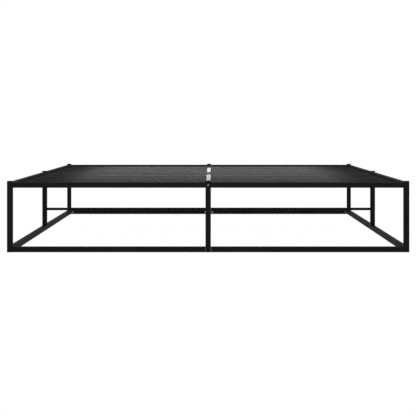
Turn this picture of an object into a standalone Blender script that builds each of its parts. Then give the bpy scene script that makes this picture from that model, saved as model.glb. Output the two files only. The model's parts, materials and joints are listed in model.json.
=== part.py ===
"""A metal platform bed base for a wide double mattress, as separate tubes, posts, caps, slats and bolts.

Metres, +Z up. X runs across the bed, +Y runs from the front (foot) to the rear (head), and the origin is on
the floor under the middle of the bed.
"""

import math

import bmesh
import bpy
from mathutils import Matrix, Vector

# Driving dimensions
WIDTH = 1.870  # over the side posts
LENGTH = 2.070  # over the front and rear posts
RAIL_TOP = 0.3245  # top of the outer rails above the floor
TUBE = 0.025  # square tube of the posts and rails
TUBE_WALL = 0.0012
TUBE_CORNER = 0.0022  # outside corner radius of the square tube
GAP = 0.0003  # between pieces that touch

CAP_HEAD = 0.0062  # height of a post cap's head
CAP_EDGE = 0.0014  # rounding of the head
CAP_PLUG_DEPTH = 0.008  # short enough to clear a centre post's bolt
CAP_PLUG_GAP = 0.0004  # between the plug and the tube's inside

BEAM_TOP = 0.3152  # top of the centre beams and of the cross rail
LEDGE_TOP = 0.3057  # the slats rest at this level
LEDGE_WIDTH = 0.018  # strip welded to the upper side rails and to both sides of the centre beams
LEDGE_THICKNESS = 0.002
LEDGE_END_SPACE = 0.022  # from a ledge's end to the tube's end, clear of the tube's bolt

SLATS_PER_BAY = 5
SLAT_WIDTH = 0.150
SLAT_CROSS_SPACE = 0.012  # from the cross rail to the slat next to it
SLAT_HEIGHT = 0.010
SLAT_SHEET = 0.0010
SLAT_BEND = 0.0050  # outside radius of the folded edges
SLAT_CENTRE_SPACE = 0.0262  # between the ends of a left and a right slat
SLAT_SIDE_SPACE = 0.0025  # between a slat's end and the side rail

STRETCHER_SIZE = 0.0138
STRETCHER_BOTTOM = 0.1097
STRETCHER_CORNER = 0.0015
STRETCHER_WALL = 0.0010

BOLT_RADIUS = 0.003
BOLT_CLEARANCE = 0.0003
BOLT_LENGTH = 0.016  # under the head
BOLT_HEAD_RADIUS = 0.0048
BOLT_HEAD_HEIGHT = 0.0026
BOLT_HEAD_EDGE = 0.0010
SOCKET_RADIUS = 0.0020
SOCKET_DEPTH = 0.0016
BOLT_SIDES = 24

CORNER_STEPS = 3

# Places that follow from them
SIDE_X = (WIDTH - TUBE) / 2  # centre line of the side rails and posts
END_Y = (LENGTH - TUBE) / 2  # centre line of the front and rear rails and posts
RAIL_Z = RAIL_TOP - TUBE / 2
BOTTOM_RAIL_Z = TUBE / 2
BEAM_Z = BEAM_TOP - TUBE / 2

STEEL_BLACK = (0.012, 0.012, 0.013)
SLAT_BLACK = (0.016, 0.016, 0.017)
PLASTIC_BLACK = (0.010, 0.010, 0.010)
ZINC_GREY = (0.42, 0.42, 0.43)


def clear_scene():
    for obj in list(bpy.data.objects):
        bpy.data.objects.remove(obj, do_unlink=True)


def material(name, colour, roughness, metallic):
    found = bpy.data.materials.get(name)
    if found:
        return found
    made = bpy.data.materials.new(name)
    made.use_nodes = True
    made.diffuse_color = (*colour, 1)
    shader = made.node_tree.nodes["Principled BSDF"]
    shader.inputs["Base Color"].default_value = (*colour, 1)
    shader.inputs["Roughness"].default_value = roughness
    shader.inputs["Metallic"].default_value = metallic
    return made


def powder_coat():
    return material("black_powder_coat", STEEL_BLACK, 0.42, 0.0)


def slat_paint():
    return material("slat_coat", SLAT_BLACK, 0.36, 0.0)


def cap_plastic():
    return material("cap_plastic", PLASTIC_BLACK, 0.5, 0.0)


def bolt_zinc():
    return material("bolt_zinc", ZINC_GREY, 0.35, 1.0)


def new_object(name, mesh_builder, surface):
    """A named object whose mesh is filled in by mesh_builder."""
    mesh = bpy.data.meshes.new(name)
    shape = bmesh.new()
    mesh_builder(shape)
    bmesh.ops.recalc_face_normals(shape, faces=shape.faces)
    shape.to_mesh(mesh)
    shape.free()
    mesh.shade_smooth()
    mesh.set_sharp_from_angle(angle=math.radians(35))
    mesh.materials.append(surface)
    obj = bpy.data.objects.new(name, mesh)
    bpy.context.scene.collection.objects.link(obj)
    return obj


def rounded_rectangle(width, height, radius):
    """Corner points of a rectangle in the XY plane, anticlockwise, with CORNER_STEPS arcs."""
    points = []
    for quarter, (sign_x, sign_y) in enumerate(((1, 1), (-1, 1), (-1, -1), (1, -1))):
        centre = Vector((sign_x * (width / 2 - radius), sign_y * (height / 2 - radius), 0))
        for step in range(CORNER_STEPS + 1):
            angle = math.radians(90) * (quarter + step / CORNER_STEPS)
            points.append(centre + radius * Vector((math.cos(angle), math.sin(angle), 0)))
    return points


def add_tube(shape, width, height, corner, wall, length):
    """A rectangular tube with open ends, centred, along Z."""
    outside = rounded_rectangle(width, height, corner)
    inside = rounded_rectangle(width - 2 * wall, height - 2 * wall, max(corner - wall, corner / 4))
    rings = []
    for points, z in ((outside, -1), (outside, 1), (inside, 1), (inside, -1)):
        offset = Vector((0, 0, z * length / 2))
        rings.append([shape.verts.new(point + offset) for point in points])
    count = len(outside)
    for ring, following in zip(rings, rings[1:] + rings[:1]):
        for i in range(count):
            j = (i + 1) % count
            shape.faces.new((ring[i], ring[j], following[j], following[i]))


def add_extrusion(shape, outline, length):
    """A closed outline in the XY plane extruded along Z, centred."""
    low = [shape.verts.new((x, y, -length / 2)) for x, y in outline]
    face = shape.faces.new(low)
    moved = bmesh.ops.extrude_face_region(shape, geom=[face])
    verts = [item for item in moved["geom"] if isinstance(item, bmesh.types.BMVert)]
    bmesh.ops.translate(shape, verts=verts, vec=(0, 0, length))


def lay_along(obj, axis, centre):
    """Turns an object that was modelled along Z to lie along X or Y, and places it."""
    turns = {
        "X": Matrix.Rotation(math.radians(90), 4, "Y") @ Matrix.Rotation(math.radians(90), 4, "Z"),
        "Y": Matrix.Rotation(math.radians(-90), 4, "X"),
        "Z": Matrix.Identity(4),
    }
    obj.matrix_world = Matrix.Translation(centre) @ turns[axis]


def square_tube(name, axis, centre, length, width=TUBE, height=TUBE, corner=TUBE_CORNER, wall=TUBE_WALL):
    def build(shape):
        add_tube(shape, width, height, corner, wall, length)

    obj = new_object(name, build, powder_coat())
    lay_along(obj, axis, centre)
    return obj


def helper_box(name, low, high):
    """A box used only to join to another object or to cut it."""

    def build(shape):
        size = Vector(high) - Vector(low)
        place = Matrix.Translation((Vector(high) + Vector(low)) / 2) @ Matrix.Diagonal((*size, 1))
        bmesh.ops.create_cube(shape, size=1, matrix=place)

    return as_helper(new_object(name, build, powder_coat()))


def helper_rod(name, centre, axis, radius, length):
    def build(shape):
        bmesh.ops.create_cone(
            shape, cap_ends=True, segments=BOLT_SIDES, radius1=radius, radius2=radius, depth=length
        )

    obj = as_helper(new_object(name, build, powder_coat()))
    lay_along(obj, axis, centre)
    return obj


def as_helper(obj):
    obj.hide_render = True
    obj.display_type = "WIRE"
    return obj


def combine(obj, helper, operation):
    modifier = obj.modifiers.new(operation.lower(), "BOOLEAN")
    modifier.operation = operation
    modifier.object = helper
    modifier.solver = "EXACT"


def post_places():
    """Name and centre line of each post that carries the outer rails."""
    places = {}
    for end, y in (("front", -END_Y), ("rear", END_Y)):
        for side, x in (("left", -SIDE_X), ("centre", 0), ("right", SIDE_X)):
            places[f"{end}_{side}"] = (x, y)
    for side, x in (("left", -SIDE_X), ("right", SIDE_X)):
        places[f"mid_{side}"] = (x, 0)
    return places


def make_posts():
    """The middle side posts stand on the lower side rails, and the others on the floor."""
    for name, (x, y) in post_places().items():
        foot = TUBE + GAP if name.startswith("mid") else 0
        square_tube(f"post_{name}", "Z", (x, y, (foot + RAIL_TOP) / 2), RAIL_TOP - foot)


def make_centre_leg():
    """The leg carries the cross rail where the two centre beams meet it."""
    top = BEAM_TOP - TUBE - GAP
    square_tube("centre_leg", "Z", (0, 0, top / 2), top)


def add_cap(shape):
    """A square cap: a rounded head that sits on the post, and a plug that goes into it."""
    base = CAP_EDGE / 3
    head = (
        (TUBE - 2 * base, 0),
        (TUBE, base),
        (TUBE, CAP_HEAD - CAP_EDGE),
        (TUBE - 0.6 * CAP_EDGE, CAP_HEAD - 0.35 * CAP_EDGE),
        (TUBE - 2 * CAP_EDGE, CAP_HEAD),
    )
    plug = TUBE - 2 * TUBE_WALL - 2 * CAP_PLUG_GAP
    levels = [(plug - 0.002, -CAP_PLUG_DEPTH), (plug, 0.002 - CAP_PLUG_DEPTH), (plug, 0), *head]
    rings = []
    for width, z in levels:
        outline = rounded_rectangle(width, width, TUBE_CORNER - (TUBE - width) / 12)
        rings.append([shape.verts.new((point.x, point.y, z)) for point in outline])
    for ring, following in zip(rings, rings[1:]):
        for i in range(len(ring)):
            j = (i + 1) % len(ring)
            shape.faces.new((ring[i], ring[j], following[j], following[i]))
    shape.faces.new(rings[0][::-1])
    shape.faces.new(rings[-1])


def make_caps():
    for name, (x, y) in post_places().items():
        cap = new_object(f"cap_{name}", add_cap, cap_plastic())
        cap.location = (x, y, RAIL_TOP + GAP)


def make_end_rails():
    """Front and rear rails, upper and lower, each in a left and a right half."""
    start = TUBE / 2 + GAP
    length = SIDE_X - TUBE - 2 * GAP
    for end, y in (("front", -END_Y), ("rear", END_Y)):
        for side, sign in (("left", -1), ("right", 1)):
            x = sign * (start + length / 2)
            square_tube(f"top_rail_{end}_{side}", "X", (x, y, RAIL_Z), length)
            square_tube(f"bottom_rail_{end}_{side}", "X", (x, y, BOTTOM_RAIL_Z), length)


def weld_ledge(tube, face, sign, low_y, high_y):
    """Joins the strip that slats rest on to a tube's upright face, which points along X to the given sign."""
    across = sorted((face - sign * TUBE_WALL / 2, face + sign * LEDGE_WIDTH))
    ledge = helper_box(
        f"ledge_{sign}_for_{tube.name}",
        (across[0], low_y + LEDGE_END_SPACE, LEDGE_TOP - LEDGE_THICKNESS),
        (across[1], high_y - LEDGE_END_SPACE, LEDGE_TOP),
    )
    combine(tube, ledge, "UNION")


def make_side_rails():
    """Left and right rails: the upper ones in a front and a rear half, the lower ones in one length."""
    start = TUBE / 2 + GAP
    length = END_Y - TUBE - 2 * GAP
    full_length = 2 * END_Y - TUBE - 2 * GAP
    for side, side_sign in (("left", -1), ("right", 1)):
        x = side_sign * SIDE_X
        square_tube(f"bottom_rail_{side}", "Y", (x, 0, BOTTOM_RAIL_Z), full_length)
        for bay, sign in (("front", -1), ("rear", 1)):
            y = sign * (start + length / 2)
            rail = square_tube(f"top_rail_{side}_{bay}", "Y", (x, y, RAIL_Z), length)
            inner_face = side_sign * (SIDE_X - TUBE / 2)
            weld_ledge(rail, inner_face, -side_sign, y - length / 2, y + length / 2)


def make_cross_rail():
    length = 2 * SIDE_X - TUBE - 2 * GAP
    square_tube("cross_rail", "X", (0, 0, BEAM_Z), length)


def make_stretchers():
    """Thin tubes from the middle leg to each middle side post, part of the way up."""
    start = TUBE / 2 + GAP
    length = SIDE_X - TUBE - 2 * GAP
    z = STRETCHER_BOTTOM + STRETCHER_SIZE / 2
    for side, sign in (("left", -1), ("right", 1)):
        square_tube(
            f"stretcher_{side}", "X", (sign * (start + length / 2), 0, z), length,
            STRETCHER_SIZE, STRETCHER_SIZE, STRETCHER_CORNER, STRETCHER_WALL,
        )


def make_centre_beams():
    """Square tubes from the cross rail to the centre posts, with a ledge on each side for the slats."""
    start = TUBE / 2 + GAP
    length = END_Y - TUBE - 2 * GAP
    for bay, bay_sign in (("front", -1), ("rear", 1)):
        y = bay_sign * (start + length / 2)
        beam = square_tube(f"centre_beam_{bay}", "Y", (0, y, BEAM_Z), length)
        for sign in (-1, 1):
            weld_ledge(beam, sign * TUBE / 2, sign, y - length / 2, y + length / 2)


def slat_outline():
    """A pressed slat's section: a flat top with both long edges folded down."""
    half = SLAT_WIDTH / 2
    inner_bend = SLAT_BEND - SLAT_SHEET
    outer, inner = [(half, 0)], [(half - SLAT_SHEET, 0)]
    for step in range(CORNER_STEPS + 1):
        angle = math.radians(90) * step / CORNER_STEPS
        across, up = math.cos(angle), math.sin(angle)
        outer.append((half - SLAT_BEND + SLAT_BEND * across, SLAT_HEIGHT - SLAT_BEND + SLAT_BEND * up))
        inner.append((half - SLAT_BEND + inner_bend * across, SLAT_HEIGHT - SLAT_BEND + inner_bend * up))
    left_outer = [(-x, z) for x, z in reversed(outer)]
    left_inner = [(-x, z) for x, z in inner]
    return outer + left_outer + left_inner + inner[::-1]


def slat_centres(sign):
    """Places along Y of one bay's slats: the first beside the cross rail, then equal spaces to the end rail."""
    low = TUBE / 2 + SLAT_CROSS_SPACE
    high = END_Y - TUBE / 2
    pitch = (high - low) / SLATS_PER_BAY
    return [sign * (low + SLAT_WIDTH / 2 + i * pitch) for i in range(SLATS_PER_BAY)]


def make_slats():
    """Slats are counted from the cross rail outwards in each bay."""
    near = SLAT_CENTRE_SPACE / 2
    far = SIDE_X - TUBE / 2 - SLAT_SIDE_SPACE
    outline = slat_outline()

    def build(shape):
        add_extrusion(shape, outline, far - near)

    for bay, bay_sign in (("front", -1), ("rear", 1)):
        for side, sign in (("left", -1), ("right", 1)):
            for number, y in enumerate(slat_centres(bay_sign), start=1):
                slat = new_object(f"slat_{bay}_{side}_{number}", build, slat_paint())
                lay_along(slat, "X", (sign * (near + far) / 2, y, LEDGE_TOP + GAP))


def add_bolt(shape):
    """A low round-headed socket bolt along Z, with its shank below the origin and its head above."""
    head = BOLT_HEAD_RADIUS
    top = BOLT_HEAD_HEIGHT
    profile = (
        (BOLT_RADIUS * 0.8, -BOLT_LENGTH),
        (BOLT_RADIUS, BOLT_RADIUS * 0.2 - BOLT_LENGTH),
        (BOLT_RADIUS, 0),
        (head, 0),
        (head, top - BOLT_HEAD_EDGE),
        (head - BOLT_HEAD_EDGE, top),
        (SOCKET_RADIUS, top),
        (SOCKET_RADIUS, top - SOCKET_DEPTH),
    )
    rings = []
    for radius, z in profile:
        ring = []
        for i in range(BOLT_SIDES):
            angle = 2 * math.pi * i / BOLT_SIDES
            ring.append(shape.verts.new((radius * math.cos(angle), radius * math.sin(angle), z)))
        rings.append(ring)
    for ring, following in zip(rings, rings[1:]):
        for i in range(BOLT_SIDES):
            j = (i + 1) % BOLT_SIDES
            shape.faces.new((ring[i], ring[j], following[j], following[i]))
    shape.faces.new(rings[0][::-1])
    shape.faces.new(rings[-1])


def make_joiner_bolts():
    """One bolt in the outer face of each centre post, level with the middle of the top rails."""
    for end, sign in (("front", -1), ("rear", 1)):
        face = sign * LENGTH / 2
        bolt = new_object(f"joiner_bolt_{end}", add_bolt, bolt_zinc())
        turn = Matrix.Rotation(math.radians(-90 * sign), 4, "X")
        bolt.matrix_world = Matrix.Translation((0, face + sign * GAP, RAIL_Z)) @ turn
        wall_centre = (0, face - sign * TUBE_WALL / 2, RAIL_Z)
        hole = helper_rod(f"hole_{end}", wall_centre, "Y", BOLT_RADIUS + BOLT_CLEARANCE, 3 * TUBE_WALL)
        combine(bpy.data.objects[f"post_{end}_centre"], hole, "DIFFERENCE")


def main():
    clear_scene()
    make_posts()
    make_centre_leg()
    make_caps()
    make_end_rails()
    make_side_rails()
    make_cross_rail()
    make_stretchers()
    make_centre_beams()
    make_slats()
    make_joiner_bolts()


main()
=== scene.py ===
"""The looks of the metal bed frame: camera, studio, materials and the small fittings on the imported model."""

import json
import math

import bmesh
import bpy
from mathutils import Matrix, Vector

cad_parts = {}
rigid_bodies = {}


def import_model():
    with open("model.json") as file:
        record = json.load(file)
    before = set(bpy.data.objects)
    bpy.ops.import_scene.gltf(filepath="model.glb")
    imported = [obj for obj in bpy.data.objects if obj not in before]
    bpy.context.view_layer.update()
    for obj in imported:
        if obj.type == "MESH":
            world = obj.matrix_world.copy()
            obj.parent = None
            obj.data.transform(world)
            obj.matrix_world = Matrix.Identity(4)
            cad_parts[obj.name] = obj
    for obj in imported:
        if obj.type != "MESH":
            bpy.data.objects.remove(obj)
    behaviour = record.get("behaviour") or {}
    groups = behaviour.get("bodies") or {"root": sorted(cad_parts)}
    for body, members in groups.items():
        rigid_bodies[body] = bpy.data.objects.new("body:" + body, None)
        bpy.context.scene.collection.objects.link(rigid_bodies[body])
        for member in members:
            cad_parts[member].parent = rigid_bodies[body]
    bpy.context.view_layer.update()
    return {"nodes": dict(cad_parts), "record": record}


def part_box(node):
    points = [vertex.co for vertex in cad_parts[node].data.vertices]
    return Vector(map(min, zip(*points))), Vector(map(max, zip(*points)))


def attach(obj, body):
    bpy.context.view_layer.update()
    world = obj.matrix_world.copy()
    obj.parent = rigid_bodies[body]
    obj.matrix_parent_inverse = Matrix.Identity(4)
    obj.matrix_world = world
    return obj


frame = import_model()
BODY = "root"

# Camera, in metres; each shift is a share of the picture's width
CAMERA_DISTANCE = 4.882  # in front of the front posts
CAMERA_HEIGHT = 0.6013
CAMERA_SIDE = 0.0136
LENS_MM = 90.97
SENSOR_MM = 36.0
SHIFT_X = -0.0074
SHIFT_Y = -0.2047

# Studio
FLOOR_SIZE = 60.0
FLOOR_GLOW = 0.995
FLOOR_ALBEDO = 0.01
FLOOR_DROP = 0.0005  # below the feet
WORLD_SEEN = 1.0
WORLD_DIFFUSE = 0.1
# What a reflection finds: the front and the rear of the horizon, straight up, and how far below the horizon
# it takes to turn black
WORLD_FRONT_GLOSS = 0.16
WORLD_REAR_GLOSS = 0.38
WORLD_ZENITH_GLOSS = 0.06
WORLD_DARK_BELOW = -0.3
# Strength, the place that it shines from and its angular size in degrees
SUNS = {"overhead": (0.3, (0, 0.5, 6), 75), "front_fill": (0.5, (0, -4, 4), 60)}
DECK_BOX_HEIGHT = 1.6  # above the slats
DECK_BOX_SPREAD = 9  # degrees; a narrow honeycomb grid keeps its light on the middle of the slats
# Width, front edge and watts for each square metre; they share a rear edge, so the light grows to the rear
DECK_BOXES = {"rear": (1.54, -0.18, 3.6), "middle": (1.46, -0.56, 3.4), "whole": (1.34, -0.95, 6.2)}
DECK_BOX_REAR_EDGE = 1.2  # behind the bed
DECK_BOX_LIGHTS = ("slat_", "centre_beam_", "centre_tape_", "bolt_")  # how the lit pieces' names begin

# Places of the sockets that a Mix node uses for colours
MIX_FACTOR = 0
MIX_LOW = 6
MIX_HIGH = 7
MIX_RESULT = 2

# Fittings
SHARP_ANGLE = 35  # degrees between two faces, above which their edge stays sharp
TURNED_SIDES = 28
BOLT_HEAD_RADIUS = 0.0048
BOLT_HEAD_HEIGHT = 0.0026
HEAD_BASE = 0.00065  # where the head starts, just above its washer
HEAD_SWELL = 1.02  # the rounded part is this much wider than the head's radius
HEAD_ARC_START = 15  # degrees
HEAD_ARC_END = 75
HEAD_ARC_STEPS = 6
WASHER_WIDER = 1.12  # than the head
WASHER_BOTTOM = 0.0001
WASHER_TOP = 0.0006
BOLT_FROM_END = 0.0115  # from a rail's end to the bolt's centre
UPPER_BOLT_DROP = 0.0045  # an upper rail's bolts sit this far below its middle, clear of the slats
SOCKET_RADIUS = 0.0019
SOCKET_MOUTH = 1.05  # the socket's mouth is this much wider than the socket
SOCKET_CHAMFER = 0.0003
SOCKET_DEPTH = 0.002
TAPE_THICKNESS = 0.0008
TAPE_WIDTH = 0.0205
TAPE_REACH = {"front": (0.109, 0.716), "rear": (0.168, 0.749)}  # both ends, measured from the cross rail
TAPE_LIFT = 0.0001  # above the beam
TAPE_THINNEST = 0.0001
TAPE_CREASE_WIDTH = 0.0018
TAPE_CREASE_DEPTH = 0.45  # a share of the thickness
TAPE_EDGE_WIDTH = 0.001
TAPE_EDGE_HEIGHT = 0.35  # a share of the thickness
# Height, radians for each step along the tape, and radians at its start
TAPE_WAVES = ((0.00012, 1.7, 0), (0.00008, 0.63, 1))
TAPE_STEPS_ACROSS = 10
TAPE_STEPS_ALONG = 60


def add_camera():
    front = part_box("post_front_left")[0].y
    data = bpy.data.cameras.new("camera")
    data.sensor_width = SENSOR_MM
    data.lens = LENS_MM
    data.shift_x = SHIFT_X
    data.shift_y = SHIFT_Y
    camera = bpy.data.objects.new("camera", data)
    bpy.context.scene.collection.objects.link(camera)
    camera.location = (CAMERA_SIDE, front - CAMERA_DISTANCE, CAMERA_HEIGHT)
    camera.rotation_euler = (math.radians(90), 0, 0)
    bpy.context.scene.camera = camera


class Surface:
    """A material built from nodes, with short calls to add and join them."""

    def __init__(self, name):
        self.material = bpy.data.materials.new(name)
        self.material.use_nodes = True
        self.tree = self.material.node_tree
        self.shader = self.tree.nodes["Principled BSDF"]
        self.place = self.add("ShaderNodeTexCoord").outputs["Object"]

    def add(self, kind, **settings):
        node = self.tree.nodes.new(kind)
        for key, value in settings.items():
            setattr(node, key, value)
        return node

    def join(self, source, target):
        self.tree.links.new(source, target)

    def scaled(self, scale):
        """Object coordinates, stretched along each axis."""
        mapping = self.add("ShaderNodeMapping")
        mapping.inputs["Scale"].default_value = scale
        self.join(self.place, mapping.inputs["Vector"])
        return mapping.outputs["Vector"]

    def noise(self, scale, detail, roughness, vector=None):
        node = self.add("ShaderNodeTexNoise")
        node.inputs["Scale"].default_value = scale
        node.inputs["Detail"].default_value = detail
        node.inputs["Roughness"].default_value = roughness
        self.join(vector or self.place, node.inputs["Vector"])
        return node.outputs["Fac"]

    def remap(self, value, low, high, to_low, to_high):
        node = self.add("ShaderNodeMapRange")
        node.inputs["From Min"].default_value = low
        node.inputs["From Max"].default_value = high
        node.inputs["To Min"].default_value = to_low
        node.inputs["To Max"].default_value = to_high
        self.join(value, node.inputs["Value"])
        return node.outputs["Result"]

    def mix(self, factor, low, high):
        node = self.add("ShaderNodeMix", data_type="RGBA")
        self.join(factor, node.inputs[MIX_FACTOR])
        for value, socket in ((low, node.inputs[MIX_LOW]), (high, node.inputs[MIX_HIGH])):
            if isinstance(value, bpy.types.NodeSocket):
                self.join(value, socket)
            else:
                socket.default_value = (*value, 1)
        return node.outputs[MIX_RESULT]

    def bump(self, height, strength, distance, normal=None):
        node = self.add("ShaderNodeBump")
        node.inputs["Strength"].default_value = strength
        node.inputs["Distance"].default_value = distance
        self.join(height, node.inputs["Height"])
        if normal:
            self.join(normal, node.inputs["Normal"])
        return node.outputs["Normal"]


def powder_coat():
    """Satin black powder coat: orange peel, slow changes of gloss and a little dust."""
    surface = Surface("powder_coat_fine")
    shader = surface.shader
    cloud = surface.noise(7.0, 4.0, 0.6)
    speck = surface.noise(900.0, 2.0, 0.6)
    peel = surface.noise(420.0, 2.0, 0.45)
    deep, pale = (0.0064, 0.0064, 0.0067), (0.0090, 0.0090, 0.0093)
    tone = surface.mix(surface.remap(cloud, 0.35, 0.7, 0, 1), deep, pale)
    dusty = surface.mix(surface.remap(speck, 0.66, 0.8, 0, 0.5), tone, (0.02, 0.02, 0.02))
    surface.join(dusty, shader.inputs["Base Color"])
    surface.join(surface.remap(cloud, 0.3, 0.7, 0.46, 0.56), shader.inputs["Roughness"])
    rough = surface.bump(speck, 0.25, 0.00008)
    surface.join(surface.bump(peel, 0.35, 0.00025, rough), shader.inputs["Normal"])
    shader.inputs["Specular IOR Level"].default_value = 0.3
    return surface.material


def slat_coat():
    """The slats' thinner black coat, with faint drawing marks along each slat."""
    surface = Surface("slat_coat_fine")
    shader = surface.shader
    cloud = surface.noise(5.0, 4.0, 0.6)
    streak = surface.noise(1.0, 3.0, 0.6, surface.scaled((9.0, 700.0, 700.0)))
    peel = surface.noise(520.0, 2.0, 0.45)
    speck = surface.noise(1100.0, 2.0, 0.6)
    deep, pale = (0.0099, 0.0099, 0.0102), (0.0109, 0.0109, 0.0112)
    even = surface.mix(surface.remap(streak, 0.3, 0.7, 0, 1), deep, pale)
    tone = surface.mix(surface.remap(speck, 0.55, 0.75, 0, 0.6), even, (0.016, 0.016, 0.0163))
    worn = surface.mix(surface.remap(cloud, 0.5, 0.8, 0, 0.35), tone, (0.014, 0.014, 0.014))
    each = surface.remap(surface.add("ShaderNodeObjectInfo").outputs["Random"], 0, 1, 0.0, 0.18)
    surface.join(surface.mix(each, worn, (0.0075, 0.0075, 0.0077)), shader.inputs["Base Color"])
    surface.join(surface.remap(cloud, 0.3, 0.7, 0.52, 0.6), shader.inputs["Roughness"])
    fine = surface.bump(peel, 0.2, 0.0001)
    surface.join(surface.bump(streak, 0.05, 0.0001, fine), shader.inputs["Normal"])
    shader.inputs["Specular IOR Level"].default_value = 0.09
    return surface.material


def cap_plastic():
    """The caps' moulded plastic: a fine grain and slow changes of gloss."""
    surface = Surface("cap_plastic_fine")
    shader = surface.shader
    grain = surface.noise(1400.0, 3.0, 0.6)
    cloud = surface.noise(60.0, 2.0, 0.5)
    deep, pale = (0.010, 0.010, 0.010), (0.014, 0.014, 0.014)
    tone = surface.mix(surface.remap(cloud, 0.3, 0.7, 0, 1), deep, pale)
    surface.join(tone, shader.inputs["Base Color"])
    surface.join(surface.remap(cloud, 0.3, 0.7, 0.42, 0.55), shader.inputs["Roughness"])
    surface.join(surface.bump(grain, 0.35, 0.0001), shader.inputs["Normal"])
    shader.inputs["Specular IOR Level"].default_value = 0.4
    return surface.material


def bolt_zinc():
    """The bolts' zinc plating: cloudy, with fine scratches."""
    surface = Surface("bolt_zinc_fine")
    shader = surface.shader
    cloud = surface.noise(300.0, 3.0, 0.6)
    scratch = surface.noise(1.0, 2.0, 0.5, surface.scaled((2500.0, 400.0, 2500.0)))
    deep, pale = (0.68, 0.68, 0.69), (0.80, 0.80, 0.80)
    tone = surface.mix(surface.remap(cloud, 0.3, 0.7, 0, 1), deep, pale)
    surface.join(tone, shader.inputs["Base Color"])
    surface.join(surface.remap(scratch, 0.3, 0.7, 0.28, 0.42), shader.inputs["Roughness"])
    surface.join(surface.bump(scratch, 0.2, 0.00005), shader.inputs["Normal"])
    shader.inputs["Metallic"].default_value = 0.8
    return surface.material


def tape_felt():
    """The pale anti-noise tape on the centre beams: short soft fibres."""
    surface = Surface("tape_felt_fine")
    shader = surface.shader
    fibre = surface.noise(1.0, 4.0, 0.7, surface.scaled((900.0, 300.0, 900.0)))
    cloud = surface.noise(40.0, 3.0, 0.6)
    deep, pale = (0.155, 0.155, 0.153), (0.190, 0.190, 0.188)
    tone = surface.mix(surface.remap(cloud, 0.3, 0.7, 0, 1), deep, pale)
    soft = surface.mix(surface.remap(fibre, 0.3, 0.7, 0, 0.6), tone, (0.135, 0.135, 0.133))
    surface.join(soft, shader.inputs["Base Color"])
    shader.inputs["Roughness"].default_value = 0.9
    surface.join(surface.bump(fibre, 0.5, 0.0002), shader.inputs["Normal"])
    return surface.material


def dress_nodes(materials):
    """Gives each CAD node the finer material of its slot."""
    slots = {part["node"]: part["material_slot"] for part in frame["record"]["subparts"]}
    for name, obj in frame["nodes"].items():
        for place in obj.material_slots:
            place.material = materials[slots[name]]


def add_piece(name, shape, surface):
    """Makes a visible piece of the bed's one body from a shape, with a material of the given slot."""
    mesh = bpy.data.meshes.new(name)
    bmesh.ops.recalc_face_normals(shape, faces=shape.faces)
    shape.to_mesh(mesh)
    shape.free()
    mesh.shade_smooth()
    mesh.set_sharp_from_angle(angle=math.radians(SHARP_ANGLE))
    mesh.materials.append(surface)
    obj = bpy.data.objects.new(name, mesh)
    bpy.context.scene.collection.objects.link(obj)
    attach(obj, BODY)


def turned(shape, profile, place):
    """Adds a shape turned about Z, moved by place.

    A profile point is a radius, a height and whether the ring there is a hexagon.
    """
    rings = []
    for radius, height, hexagon in profile:
        ring = []
        for i in range(TURNED_SIDES):
            angle = 2 * math.pi * i / TURNED_SIDES
            reach = radius
            if hexagon:
                sector = (angle + math.pi / 6) % (math.pi / 3) - math.pi / 6
                reach = radius / math.cos(sector)
            point = Vector((reach * math.cos(angle), reach * math.sin(angle), height))
            ring.append(shape.verts.new(place @ point))
        rings.append(ring)
    for ring, following in zip(rings, rings[1:]):
        for i in range(TURNED_SIDES):
            j = (i + 1) % TURNED_SIDES
            shape.faces.new((ring[i], ring[j], following[j], following[i]))
    shape.faces.new(rings[0][::-1])
    shape.faces.new(rings[-1])


def bolt_head_profile():
    """A button head with a hexagon socket, resting on a thin washer."""
    washer = BOLT_HEAD_RADIUS * WASHER_WIDER
    points = [(washer, WASHER_BOTTOM, False), (washer, WASHER_TOP, False)]
    points.append((BOLT_HEAD_RADIUS, HEAD_BASE, False))
    for step in range(HEAD_ARC_STEPS + 1):
        turn = (HEAD_ARC_END - HEAD_ARC_START) * step / HEAD_ARC_STEPS
        angle = math.radians(HEAD_ARC_START + turn)
        radius = BOLT_HEAD_RADIUS * math.cos(angle) * HEAD_SWELL
        points.append((radius, BOLT_HEAD_HEIGHT * math.sin(angle), False))
    rim = BOLT_HEAD_HEIGHT * math.sin(math.radians(HEAD_ARC_END))
    points.append((SOCKET_RADIUS * SOCKET_MOUTH, rim, True))
    points.append((SOCKET_RADIUS, rim - SOCKET_CHAMFER, True))
    points.append((SOCKET_RADIUS, rim - SOCKET_DEPTH, True))
    return points


def rail_ends():
    """Name, place and direction of each rail's two bolts.

    They are in its inner face, near its ends. The cross rail's are in its rear face.
    """
    found = []
    post_low, post_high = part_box("post_front_left")
    tube = post_high.x - post_low.x
    for name in sorted(frame["nodes"]):
        words = name.split("_")
        if words[1:2] != ["rail"]:
            continue
        low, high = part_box(name)
        z = high.z - tube / 2
        if low.z >= tube:
            z -= UPPER_BOLT_DROP
        along_x = high.x - low.x > high.y - low.y
        if along_x:
            inward = Vector((0, -1 if low.y > 0 else 1, 0))
            face = low.y if low.y > 0 else high.y
            ends = {"left": low.x + BOLT_FROM_END, "right": high.x - BOLT_FROM_END}
            for label, x in ends.items():
                found.append((f"{name}_{label}", Vector((x, face, z)), inward))
        else:
            inward = Vector((-1 if low.x > 0 else 1, 0, 0))
            face = high.x - tube if low.x > 0 else low.x + tube
            ends = {"front": low.y + BOLT_FROM_END, "rear": high.y - BOLT_FROM_END}
            for label, y in ends.items():
                found.append((f"{name}_{label}", Vector((face, y, z)), inward))
    return found


def add_rail_bolts(surface):
    profile = bolt_head_profile()
    for name, place, direction in rail_ends():
        shape = bmesh.new()
        turn = direction.to_track_quat("Z", "Y").to_matrix().to_4x4()
        turned(shape, profile, Matrix.Translation(place) @ turn)
        add_piece(f"bolt_{name}", shape, surface)


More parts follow.
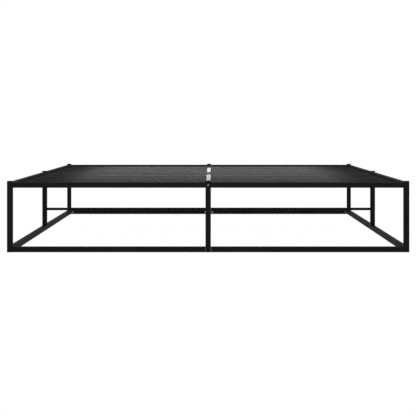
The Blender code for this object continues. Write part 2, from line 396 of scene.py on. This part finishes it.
def add_centre_tape(surface):
    """A strip of felt tape on the top of each centre beam, with soft edges and a faint lengthwise crease."""
    half = TAPE_WIDTH / 2
    section = []
    for step in range(TAPE_STEPS_ACROSS + 1):
        across = -half + TAPE_WIDTH * step / TAPE_STEPS_ACROSS
        crease = math.exp(-((across / TAPE_CREASE_WIDTH) ** 2))
        edge = min(1.0, (half - abs(across)) / TAPE_EDGE_WIDTH + TAPE_EDGE_HEIGHT)
        section.append((across, TAPE_THICKNESS * (edge - TAPE_CREASE_DEPTH * crease)))
    for bay, (near, far) in TAPE_REACH.items():
        low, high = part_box(f"centre_beam_{bay}")
        start = low.y + near if bay == "rear" else high.y - far
        top = high.z + TAPE_LIFT
        shape = bmesh.new()
        rows = []
        for i in range(TAPE_STEPS_ALONG + 1):
            y = start + (far - near) * i / TAPE_STEPS_ALONG
            wave = sum(height * math.sin(i * turn + first) for height, turn, first in TAPE_WAVES)
            rows.append([shape.verts.new((x, y, top + max(TAPE_THINNEST, z + wave))) for x, z in section])
            rows[-1] += [shape.verts.new((half, y, top)), shape.verts.new((-half, y, top))]
        for row, following in zip(rows, rows[1:]):
            for i in range(len(row)):
                j = (i + 1) % len(row)
                shape.faces.new((row[i], row[j], following[j], following[i]))
        shape.faces.new(rows[0][::-1])
        shape.faces.new(rows[-1])
        add_piece(f"centre_tape_{bay}", shape, surface)


def add_floor():
    """A white floor that glows a little less than the background, and that reflections don't find."""
    mesh = bpy.data.meshes.new("floor")
    half = FLOOR_SIZE / 2
    corners = [(-half, -half, 0), (half, -half, 0), (half, half, 0), (-half, half, 0)]
    mesh.from_pydata(corners, [], [(0, 1, 2, 3)])
    floor = bpy.data.objects.new("floor", mesh)
    bpy.context.scene.collection.objects.link(floor)
    floor.location.z = -FLOOR_DROP
    surface = Surface("studio_floor")
    surface.shader.inputs["Base Color"].default_value = (FLOOR_ALBEDO, FLOOR_ALBEDO, FLOOR_ALBEDO, 1)
    surface.shader.inputs["Emission Color"].default_value = (1, 1, 1, 1)
    surface.shader.inputs["Emission Strength"].default_value = FLOOR_GLOW
    surface.shader.inputs["Roughness"].default_value = 0.9
    surface.shader.inputs["Specular IOR Level"].default_value = 0.0
    mesh.materials.append(surface.material)
    floor.visible_glossy = False


def add_light(name, kind, place, target, **settings):
    data = bpy.data.lights.new(name, kind)
    for key, value in settings.items():
        setattr(data, key, value)
    light = bpy.data.objects.new(name, data)
    bpy.context.scene.collection.objects.link(light)
    light.location = place
    light.rotation_euler = (Vector(target) - Vector(place)).to_track_quat("-Z", "Y").to_euler()
    return light


def add_world():
    """White behind the bed, and dim as a light.

    A reflection finds it brightest at the rear horizon, dimmer at the front and overhead, and black below.
    """
    world = bpy.data.worlds.new("studio")
    bpy.context.scene.world = world
    world.use_nodes = True
    world.cycles.sampling_method = "NONE"  # so that rough reflections too count as glossy rays below
    tree = world.node_tree

    def mapped(value, low, high, start=0.0, stop=1.0):
        node = tree.nodes.new("ShaderNodeMapRange")
        tree.links.new(value, node.inputs["Value"])
        node.inputs["From Min"].default_value = start
        node.inputs["From Max"].default_value = stop
        for source, name in ((low, "To Min"), (high, "To Max")):
            if isinstance(source, bpy.types.NodeSocket):
                tree.links.new(source, node.inputs[name])
            else:
                node.inputs[name].default_value = source
        return node.outputs["Result"]

    path = tree.nodes.new("ShaderNodeLightPath")
    direction = tree.nodes.new("ShaderNodeTexCoord").outputs["Generated"]
    split = tree.nodes.new("ShaderNodeSeparateXYZ")
    tree.links.new(direction, split.inputs["Vector"])
    horizon = mapped(split.outputs["Y"], WORLD_FRONT_GLOSS, WORLD_REAR_GLOSS, -1.0)
    above = mapped(split.outputs["Z"], horizon, WORLD_ZENITH_GLOSS)
    gloss = mapped(split.outputs["Z"], 0.0, above, WORLD_DARK_BELOW, 0.0)
    light = mapped(path.outputs["Is Glossy Ray"], WORLD_DIFFUSE, gloss)
    strength = mapped(path.outputs["Is Camera Ray"], light, WORLD_SEEN)
    tree.links.new(strength, tree.nodes["Background"].inputs["Strength"])
    tree.nodes["Background"].inputs["Color"].default_value = (1, 1, 1, 1)


def add_deck_boxes():
    """Gridded softboxes above the slats, overlapping so that the deck's front stays darker than its rear.

    They light only the slats, the centre beams, the tape and the rails' bolts. Their light through the gaps
    would draw bright lines on the bars below.
    """
    slat_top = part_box("slat_front_left_1")[1].z
    lit = bpy.data.collections.new("lit_by_deck_boxes")
    for obj in bpy.context.scene.objects:
        if obj.name.startswith(DECK_BOX_LIGHTS):
            lit.objects.link(obj)
    for name, (width, front, power) in DECK_BOXES.items():
        length = DECK_BOX_REAR_EDGE - front
        aim = Vector((0, front + length / 2, slat_top))
        place = aim + Vector((0, 0, DECK_BOX_HEIGHT))
        light = add_light(
            f"deck_box_{name}", "AREA", place, aim, energy=power * width * length, shape="RECTANGLE",
            size=width, size_y=length, spread=math.radians(DECK_BOX_SPREAD),
        )
        light.rotation_euler = (0, 0, 0)  # straight down, its length along the bed
        light.visible_camera = False
        light.light_linking.receiver_collection = lit


def add_studio():
    bpy.context.scene.view_settings.view_transform = "Standard"
    add_world()
    add_floor()
    for name, (strength, place, width) in SUNS.items():
        add_light(name, "SUN", place, (0, 0, 0), energy=strength, angle=math.radians(width))
    add_deck_boxes()


def main():
    add_camera()
    materials = {
        "powder_coat": powder_coat(),
        "slat_coat": slat_coat(),
        "cap_plastic": cap_plastic(),
        "bolt_zinc": bolt_zinc(),
    }
    dress_nodes(materials)
    add_rail_bolts(materials["bolt_zinc"])
    add_centre_tape(tape_felt())
    add_studio()


main()
